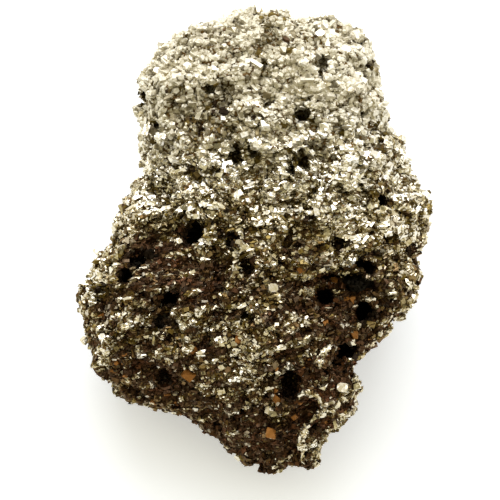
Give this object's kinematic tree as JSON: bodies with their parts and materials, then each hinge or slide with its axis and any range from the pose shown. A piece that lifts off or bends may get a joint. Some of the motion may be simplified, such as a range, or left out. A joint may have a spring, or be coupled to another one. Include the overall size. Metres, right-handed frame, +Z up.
{
  "type": "raw pyrite specimen",
  "caption": "Rough lump of raw brassy pyrite, a granular mass of small intergrown crystals with ledges, hollows and open pits, lying on a small flat spot.",
  "frame": {"origin": "middle of the lump's box on the surface that it rests on, under its underside", "axes": "+Y runs up the lump's long way from its narrow nose to its broad end, +X to the right of the face, +Z up from the flat spot through the lump's short way"},
  "size_m": [0.0454, 0.0588, 0.0322],
  "materials": {
    "pyrite": "brassy metallic facets, browner with tarnish in the hollows and over the lower half"
  },
  "bodies": {
    "root": {"pyrite_lump": "pyrite"}
  },
  "joints": []
}
